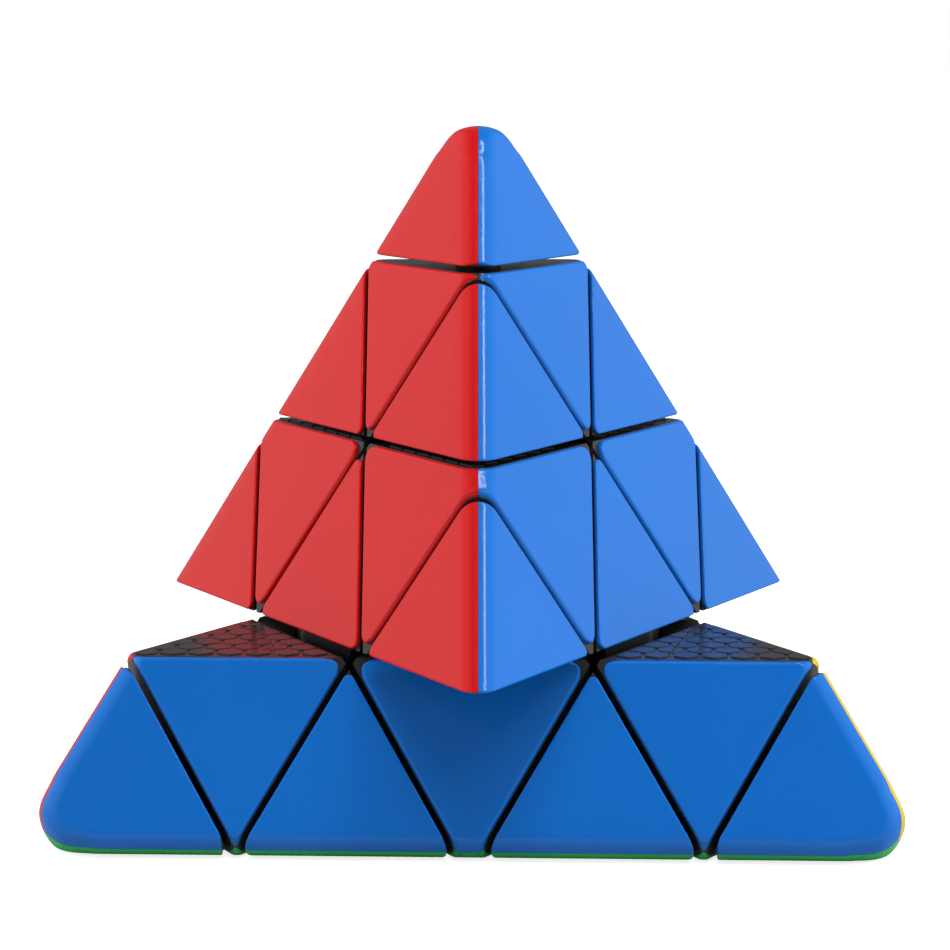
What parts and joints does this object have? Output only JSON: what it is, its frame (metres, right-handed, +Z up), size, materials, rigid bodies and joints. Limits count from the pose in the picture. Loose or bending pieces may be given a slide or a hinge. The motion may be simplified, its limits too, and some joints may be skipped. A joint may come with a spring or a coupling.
{
  "type": "pyramid twisty puzzle",
  "caption": "Tetrahedral twisty puzzle with glossy coloured triangles on black turning pieces, its upper layers turned on the bottom layer.",
  "frame": {"origin": "centre of the flat green resting face, on the upright turning axis", "axes": "+Z up along the upright turning axis to the top corner, -Y out of the bottom layer's blue face, +X to the viewer's right"},
  "size_m": [0.0998, 0.1018, 0.0823],
  "materials": {
    "black_plastic": "semi-gloss moulded",
    "core_plastic": "moulded, unseen",
    "screw_steel": "zinc-plated",
    "spring_steel": "drawn wire",
    "blue_plastic": "polished",
    "red_plastic": "polished",
    "yellow_plastic": "polished",
    "green_plastic": "polished"
  },
  "bodies": {
    "base": {"core": "core_plastic", "screws": "screw_steel", "springs": "spring_steel", "washers": "screw_steel", "axial_left": "black_plastic", "axial_right": "black_plastic", "axial_back": "black_plastic", "inner_left": "black_plastic", "inner_right": "black_plastic", "inner_back": "black_plastic", "wing_left_right": "black_plastic", "wing_right_left": "black_plastic", "wing_left_back": "black_plastic", "wing_back_left": "black_plastic", "wing_right_back": "black_plastic", "wing_back_right": "black_plastic", "mid_left_right": "black_plastic", "mid_left_back": "black_plastic", "mid_right_back": "black_plastic", "face_bottom": "black_plastic", "caps_base_blue": "blue_plastic", "caps_base_red": "red_plastic", "caps_base_yellow": "yellow_plastic", "caps_base_green": "green_plastic"},
    "upper": {"inner_top": "black_plastic", "wing_left_top": "black_plastic", "wing_right_top": "black_plastic", "wing_back_top": "black_plastic", "mid_top_left": "black_plastic", "mid_top_right": "black_plastic", "mid_top_back": "black_plastic", "face_front": "black_plastic", "face_back_left": "black_plastic", "face_back_right": "black_plastic", "caps_upper_blue": "blue_plastic", "caps_upper_red": "red_plastic", "caps_upper_yellow": "yellow_plastic"},
    "crown": {"axial_top": "black_plastic", "wing_top_left": "black_plastic", "wing_top_right": "black_plastic", "wing_top_back": "black_plastic", "caps_crown_blue": "blue_plastic", "caps_crown_red": "red_plastic", "caps_crown_yellow": "yellow_plastic"},
    "top_tip": {"tip_top": "black_plastic", "caps_tip_top_blue": "blue_plastic", "caps_tip_top_red": "red_plastic", "caps_tip_top_yellow": "yellow_plastic"},
    "left_tip": {"tip_left": "black_plastic", "caps_tip_left_blue": "blue_plastic", "caps_tip_left_red": "red_plastic", "caps_tip_left_green": "green_plastic"},
    "right_tip": {"tip_right": "black_plastic", "caps_tip_right_blue": "blue_plastic", "caps_tip_right_yellow": "yellow_plastic", "caps_tip_right_green": "green_plastic"},
    "back_tip": {"tip_back": "black_plastic", "caps_tip_back_red": "red_plastic", "caps_tip_back_yellow": "yellow_plastic", "caps_tip_back_green": "green_plastic"}
  },
  "joints": [
    {"name": "upper_turn", "type": "hinge", "parent": "base", "child": "upper", "pos_m": [0, 0, 0.02245], "axis": [0, 0, 1], "continuous": true},
    {"name": "crown_turn", "type": "hinge", "parent": "upper", "child": "crown", "pos_m": [0, 0, 0.02245], "axis": [0, 0, 1], "continuous": true},
    {"name": "top_tip_turn", "type": "hinge", "parent": "crown", "child": "top_tip", "pos_m": [0, 0, 0.02245], "axis": [0, 0, 1], "continuous": true},
    {"name": "left_tip_turn", "type": "hinge", "parent": "base", "child": "left_tip", "pos_m": [0, 0, 0.02245], "axis": [-0.8165, -0.4714, -0.3333], "continuous": true},
    {"name": "right_tip_turn", "type": "hinge", "parent": "base", "child": "right_tip", "pos_m": [0, 0, 0.02245], "axis": [0.8165, -0.4714, -0.3333], "continuous": true},
    {"name": "back_tip_turn", "type": "hinge", "parent": "base", "child": "back_tip", "pos_m": [0, 0, 0.02245], "axis": [0, 0.9428, -0.3333], "continuous": true}
  ]
}
